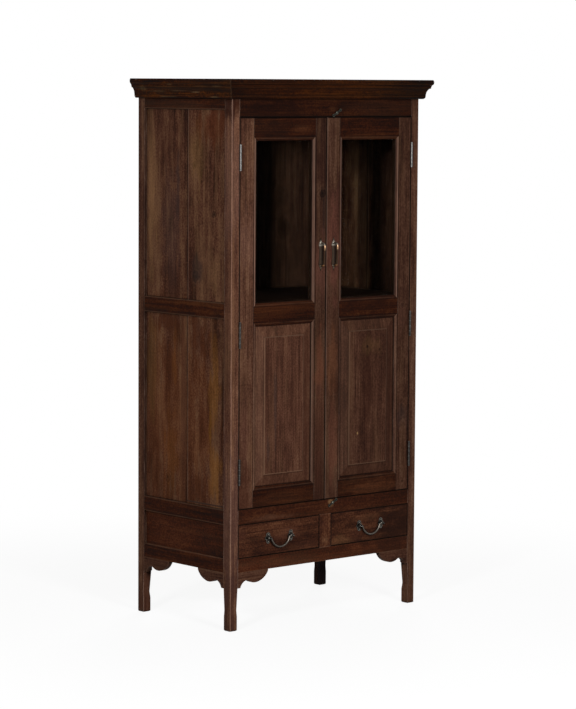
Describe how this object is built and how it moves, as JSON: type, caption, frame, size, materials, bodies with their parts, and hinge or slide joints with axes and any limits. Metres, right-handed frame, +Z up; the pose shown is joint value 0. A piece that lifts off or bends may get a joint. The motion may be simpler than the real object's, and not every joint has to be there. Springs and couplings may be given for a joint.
{
  "type": "glazed hardwood cabinet",
  "caption": "Tall hardwood cabinet with framed doors, glazed above and panelled below, over a row of drawers, with scalloped brackets, slim legs and a moulded cornice.",
  "frame": {"origin": "centre of the footprint on the floor", "axes": "+Z up, -Y out of the doors and drawers, +X to the right as seen from the front"},
  "size_m": [0.958, 0.549, 1.9],
  "materials": {
    "frame_wood": "aged dark stain, worn at the edges, satin",
    "rail_wood": "aged dark red-brown stain, satin",
    "cornice_wood": "aged dark stain, chipped at the edges, satin",
    "board_wood": "aged dark stain, rubbed paler in streaks, satin",
    "inner_wood": "plain dark stain, dull",
    "glass": "clear, smooth",
    "hinge_steel": "bare steel, dulled",
    "pull_brass": "aged brass with a grey-green patina",
    "handle_iron": "pewter-grey, rubbed bright on the edges",
    "button_iron": "grey-green, dull"
  },
  "bodies": {
    "carcass": {"front_left_post": "frame_wood", "front_right_post": "frame_wood", "back_left_post": "frame_wood", "back_right_post": "frame_wood", "drawer_divider": "frame_wood", "front_top_rail": "rail_wood", "drawer_rail": "rail_wood", "front_bottom_rail": "rail_wood", "left_side_rails": "rail_wood", "right_side_rails": "rail_wood", "front_brackets": "rail_wood", "left_brackets": "rail_wood", "right_brackets": "rail_wood", "front_cornice": "cornice_wood", "left_cornice": "cornice_wood", "right_cornice": "cornice_wood", "top_board": "cornice_wood", "left_side_boards": "board_wood", "right_side_boards": "board_wood", "back_rails": "inner_wood", "back_boards": "inner_wood", "cupboard_floor": "inner_wood", "shelf": "inner_wood", "shelf_bearers": "inner_wood", "drawer_runners": "inner_wood", "drawer_guides": "inner_wood", "drawer_kickers": "inner_wood", "top_door_stop": "inner_wood", "left_hinge_frame_leaves": "hinge_steel", "left_hinge_pins": "hinge_steel", "right_hinge_frame_leaves": "hinge_steel", "right_hinge_pins": "hinge_steel", "turn_button_screws": "button_iron"},
    "left_door": {"left_door_hinge_stile": "frame_wood", "left_door_meeting_stile": "frame_wood", "left_door_rails": "rail_wood", "left_door_panel": "board_wood", "left_door_glass": "glass", "left_door_glass_beads": "inner_wood", "left_door_pull": "pull_brass", "left_hinge_door_leaves": "hinge_steel"},
    "right_door": {"right_door_hinge_stile": "frame_wood", "right_door_meeting_stile": "frame_wood", "right_door_rails": "rail_wood", "right_door_panel": "board_wood", "right_door_glass": "glass", "right_door_glass_beads": "inner_wood", "right_door_pull": "pull_brass", "right_hinge_door_leaves": "hinge_steel"},
    "left_drawer": {"left_drawer_front": "rail_wood", "left_drawer_box": "inner_wood", "left_drawer_handle_plates": "handle_iron"},
    "right_drawer": {"right_drawer_front": "rail_wood", "right_drawer_box": "inner_wood", "right_drawer_handle_plates": "handle_iron"},
    "left_bail": {"left_drawer_bail": "handle_iron"},
    "right_bail": {"right_drawer_bail": "handle_iron"},
    "top_button": {"top_turn_button": "button_iron"},
    "bottom_button": {"bottom_turn_button": "button_iron"}
  },
  "joints": [
    {"name": "left_door_hinge", "type": "hinge", "parent": "carcass", "child": "left_door", "pos_m": [-0.40325, -0.24, 1.026], "axis": [0, 0, -1], "range_deg": [0, 170]},
    {"name": "right_door_hinge", "type": "hinge", "parent": "carcass", "child": "right_door", "pos_m": [0.40325, -0.24, 1.026], "axis": [0, 0, 1], "range_deg": [0, 170]},
    {"name": "left_drawer_slide", "type": "slide", "parent": "carcass", "child": "left_drawer", "axis": [0, -1, 0], "range_m": [0, 0.34]},
    {"name": "right_drawer_slide", "type": "slide", "parent": "carcass", "child": "right_drawer", "axis": [0, -1, 0], "range_m": [0, 0.34]},
    {"name": "left_bail_swing", "type": "hinge", "parent": "left_drawer", "child": "left_bail", "pos_m": [-0.216, -0.244, 0.311], "axis": [-1, 0, 0], "range_deg": [-8, 185]},
    {"name": "right_bail_swing", "type": "hinge", "parent": "right_drawer", "child": "right_bail", "pos_m": [0.216, -0.244, 0.311], "axis": [-1, 0, 0], "range_deg": [-8, 185]},
    {"name": "top_button_turn", "type": "hinge", "parent": "carcass", "child": "top_button", "pos_m": [0.041, -0.2373, 1.784], "axis": [0, -1, 0], "continuous": true},
    {"name": "bottom_button_turn", "type": "hinge", "parent": "carcass", "child": "bottom_button", "pos_m": [0.034, -0.2373, 0.407], "axis": [0, -1, 0], "continuous": true}
  ]
}
